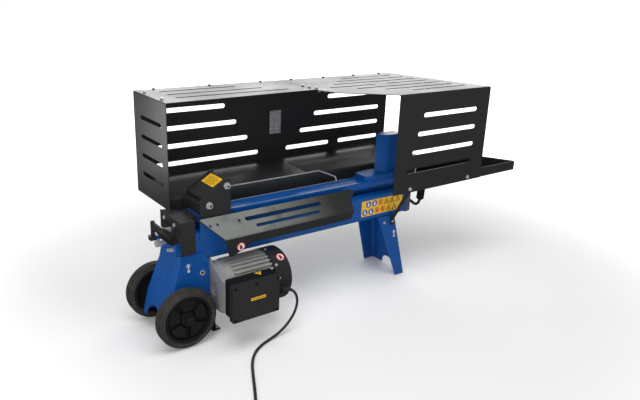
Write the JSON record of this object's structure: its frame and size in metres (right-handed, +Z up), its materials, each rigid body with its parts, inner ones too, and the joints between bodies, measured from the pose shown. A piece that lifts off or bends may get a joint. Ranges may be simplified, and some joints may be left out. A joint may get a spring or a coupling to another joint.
{
  "type": "log splitter",
  "caption": "Horizontal electric hydraulic log splitter with a sliding pusher, fixed wedge, slotted guard cage, chute, tray, wheels and rear leg.",
  "frame": {"origin": "floor point under the middle of the machine's box, cord left out", "axes": "+X from the control end to the tray, +Y to the back panels, +Z up"},
  "size_m": [1.287, 0.8242, 0.592],
  "materials": {
    "blue_paint": "gloss",
    "black_paint": "satin",
    "worn_paint": "worn",
    "steel": "satin",
    "chrome": "polished",
    "iron": "rough",
    "aluminium": "cast",
    "copper": "wound",
    "black_plastic": "matt",
    "grey_plastic": "matt",
    "tyre": "matt",
    "cord_rubber": "matt"
  },
  "bodies": {
    "frame": {"beam_box": "blue_paint", "guide_rail": "blue_paint", "splitting_wedge": "blue_paint", "hydraulic_block": "blue_paint", "wheel_bracket": "blue_paint", "rear_leg": "blue_paint", "back_panel_left": "black_paint", "back_panel_right": "black_paint", "end_panel": "black_paint", "roof_left": "black_paint", "roof_and_front_right": "black_paint", "log_tray": "black_paint", "tray_strut": "black_paint", "lever_guard": "black_paint", "lift_handle_bar": "black_paint", "fan_cover": "black_paint", "front_trough": "worn_paint", "axle": "steel", "cage_joint_plate": "steel", "pressure_screw": "steel", "bearing_drive": "steel", "bearing_fan": "steel", "stroke_limiter_rod": "steel", "cylinder_tube": "steel", "cylinder_gland": "iron", "gear_pump": "iron", "motor_end_bell": "aluminium", "motor_housing": "aluminium", "fan_end_shield": "aluminium", "motor_stator": "copper", "axle_cap_front": "black_plastic", "axle_cap_rear": "black_plastic", "lift_handle_grip": "black_plastic", "terminal_box": "black_plastic", "terminal_box_lid": "black_plastic", "cable_gland": "black_plastic", "mains_plug": "black_plastic", "beam_end_cap": "grey_plastic", "start_capacitor": "grey_plastic", "mains_cord": "cord_rubber", "cord_coil": "cord_rubber"},
    "pusher": {"pusher_body": "black_paint", "pusher_side_plate_front": "black_paint", "pusher_side_plate_rear": "black_paint", "pusher_bolt_upper": "steel", "pusher_bolt_lower": "steel", "pusher_shoe_front": "steel", "pusher_shoe_rear": "steel", "crosshead": "iron", "piston_rod": "chrome", "piston": "iron"},
    "lever": {"control_lever": "steel", "lever_knob": "black_plastic"},
    "spool": {"valve_spool": "steel"},
    "front_wheel": {"tyre_front": "tyre", "wheel_hub_front": "black_plastic"},
    "rear_wheel": {"tyre_rear": "tyre", "wheel_hub_rear": "black_plastic"},
    "rotor": {"motor_rotor": "steel", "cooling_fan": "black_plastic"}
  },
  "joints": [
    {"name": "pusher_slide", "type": "slide", "parent": "frame", "child": "pusher", "axis": [1, 0, 0], "range_m": [0, 0.32], "stiffness_N_per_m": 60, "springref_m": -0.5},
    {"name": "lever_swing", "type": "hinge", "parent": "frame", "child": "lever", "pos_m": [-0.5865, 0.0275, 0.283], "axis": [0, 0, 1], "range_deg": [0, 6.5], "stiffness_Nm_per_rad": 2, "springref_deg": -2.86},
    {"name": "spool_slide", "type": "slide", "parent": "frame", "child": "spool", "axis": [1, 0, 0], "range_m": [0, 0.0063]},
    {"name": "front_wheel_spin", "type": "hinge", "parent": "frame", "child": "front_wheel", "pos_m": [-0.5655, -0.1075, 0.078], "axis": [0, 1, 0], "continuous": true},
    {"name": "rear_wheel_spin", "type": "hinge", "parent": "frame", "child": "rear_wheel", "pos_m": [-0.5655, 0.0805, 0.078], "axis": [0, 1, 0], "continuous": true},
    {"name": "rotor_spin", "type": "hinge", "parent": "frame", "child": "rotor", "pos_m": [-0.39, -0.089, 0.1285], "axis": [1, 0, 0], "continuous": true}
  ],
  "couplings": [
    {"joint": "spool_slide", "follows": "lever_swing", "m_per_rad": 0.055}
  ]
}
